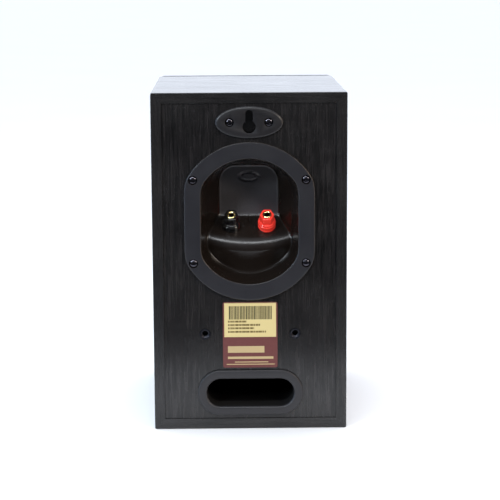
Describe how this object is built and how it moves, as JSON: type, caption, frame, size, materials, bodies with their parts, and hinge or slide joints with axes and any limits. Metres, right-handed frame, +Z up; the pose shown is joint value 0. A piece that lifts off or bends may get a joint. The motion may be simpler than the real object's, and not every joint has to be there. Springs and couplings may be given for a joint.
{
  "type": "bookshelf speaker",
  "caption": "Small two-way bookshelf speaker with a recessed terminal cup, slot port and keyhole hanger on its rear.",
  "frame": {"origin": "bottom centre of the bounding box, on the surface the speaker stands on", "axes": "+Z up, -Y towards the front baffle and grille, +Y out of the rear panel"},
  "size_m": [0.15, 0.201, 0.263],
  "materials": {
    "vinyl_black": "black ash vinyl wrap over fibreboard",
    "rear_vinyl": "black ash vinyl over fibreboard, vertical grain",
    "moulded_plastic": "matte dark blue-grey moulding",
    "hanger_black": "satin black",
    "port_plastic": "matte dark grey moulding",
    "black_steel": "black oxide",
    "gold_plate": "gold plated brass",
    "red_plastic": "gloss red",
    "black_plastic": "gloss black",
    "label_print": "maroon and cream printed film",
    "foam": "closed-cell foam",
    "insert_brass": "dull brass",
    "zinc_steel": "zinc plated",
    "frame_paint": "black-grey painted steel",
    "rubber_black": "butyl rubber",
    "cone_black": "filled polypropylene",
    "copper": "enamelled copper wire",
    "spider_cloth": "phenolic-treated cotton",
    "ferrite": "ferrite ceramic",
    "plate_steel": "zinc plated pole plates",
    "face_plastic": "satin black moulding",
    "dome_metal": "anodised dome",
    "board_brown": "hardboard",
    "film_blue": "film-wrapped capacitor",
    "ceramic": "cement resistor",
    "wire_red": "insulated wire",
    "wire_blue": "insulated wire",
    "wire_yellow": "insulated wire",
    "wool": "polyester wool",
    "grille_plastic": "moulded frame",
    "grille_fabric": "black acoustically open knit"
  },
  "bodies": {
    "cabinet": {"top_panel": "vinyl_black", "bottom_panel": "vinyl_black", "left_panel": "vinyl_black", "right_panel": "vinyl_black", "rear_panel": "rear_vinyl", "front_baffle": "rear_vinyl", "hanger_plate": "hanger_black", "hanger_screws": "black_steel", "terminal_cup": "moulded_plastic", "cup_gasket": "foam", "cup_screws": "black_steel", "rating_label": "label_print", "port_flange": "port_plastic", "port_duct": "port_plastic", "bracket_inserts": "insert_brass", "red_post": "gold_plate", "black_post": "gold_plate", "red_base": "red_plastic", "black_base": "black_plastic", "post_nuts": "zinc_steel", "solder_tags": "zinc_steel", "woofer_frame": "frame_paint", "woofer_gasket": "rubber_black", "woofer_surround": "rubber_black", "spider": "spider_cloth", "woofer_top_plate": "plate_steel", "woofer_magnet": "ferrite", "woofer_back_plate": "plate_steel", "driver_tabs": "zinc_steel", "woofer_screws": "black_steel", "tweeter_faceplate": "face_plastic", "tweeter_surround": "rubber_black", "tweeter_top_plate": "plate_steel", "tweeter_magnet": "ferrite", "tweeter_back_plate": "plate_steel", "tweeter_screws": "black_steel", "crossover_board": "board_brown", "crossover_coils": "copper", "crossover_capacitors": "film_blue", "crossover_resistor": "ceramic", "crossover_screws": "zinc_steel", "input_leads": "wire_red", "woofer_leads": "wire_blue", "tweeter_leads": "wire_yellow", "damping_batt": "wool", "grille_cups": "rubber_black"},
    "grille": {"grille_frame": "grille_plastic", "grille_cloth": "grille_fabric"},
    "woofer_diaphragm": {"woofer_cone": "cone_black", "dust_cap": "cone_black", "voice_coil_former": "copper", "voice_coil_winding": "copper"},
    "tweeter_diaphragm": {"tweeter_dome": "dome_metal", "tweeter_voice_coil": "copper"},
    "red_clamp": {"red_washer": "gold_plate"},
    "red_cap": {"red_knob": "red_plastic", "red_knob_insert": "gold_plate"},
    "black_clamp": {"black_washer": "gold_plate"},
    "black_cap": {"black_knob": "black_plastic", "black_knob_insert": "gold_plate"}
  },
  "joints": [
    {"name": "grille_pull", "type": "slide", "parent": "cabinet", "child": "grille", "axis": [0, -1, 0], "range_m": [0, 0.06]},
    {"name": "woofer_excursion", "type": "slide", "parent": "cabinet", "child": "woofer_diaphragm", "axis": [0, -1, 0], "range_m": [-0.004, 0.004], "stiffness_N_per_m": 1000, "deforming": ["woofer_surround", "spider"]},
    {"name": "tweeter_excursion", "type": "slide", "parent": "cabinet", "child": "tweeter_diaphragm", "axis": [0, -1, 0], "range_m": [-0.0003, 0.0003], "stiffness_N_per_m": 2000, "deforming": ["tweeter_surround"]},
    {"name": "red_clamp_slide", "type": "slide", "parent": "cabinet", "child": "red_clamp", "axis": [0, 0.7071, 0.7071], "range_m": [0, 0.003]},
    {"name": "red_cap_turn", "type": "hinge", "parent": "red_clamp", "child": "red_cap", "pos_m": [-0.014, 0.0643, 0.1555], "axis": [0, 0.7071, 0.7071], "range_deg": [0, 1441]},
    {"name": "black_clamp_slide", "type": "slide", "parent": "cabinet", "child": "black_clamp", "axis": [0, 0.7071, 0.7071], "range_m": [0, 0.003]},
    {"name": "black_cap_turn", "type": "hinge", "parent": "black_clamp", "child": "black_cap", "pos_m": [0.014, 0.0643, 0.1555], "axis": [0, 0.7071, 0.7071], "range_deg": [0, 1441]}
  ],
  "couplings": [
    {"joint": "red_cap_turn", "follows": "red_clamp_slide", "rad_per_m": 8377.6},
    {"joint": "black_cap_turn", "follows": "black_clamp_slide", "rad_per_m": 8377.6}
  ]
}
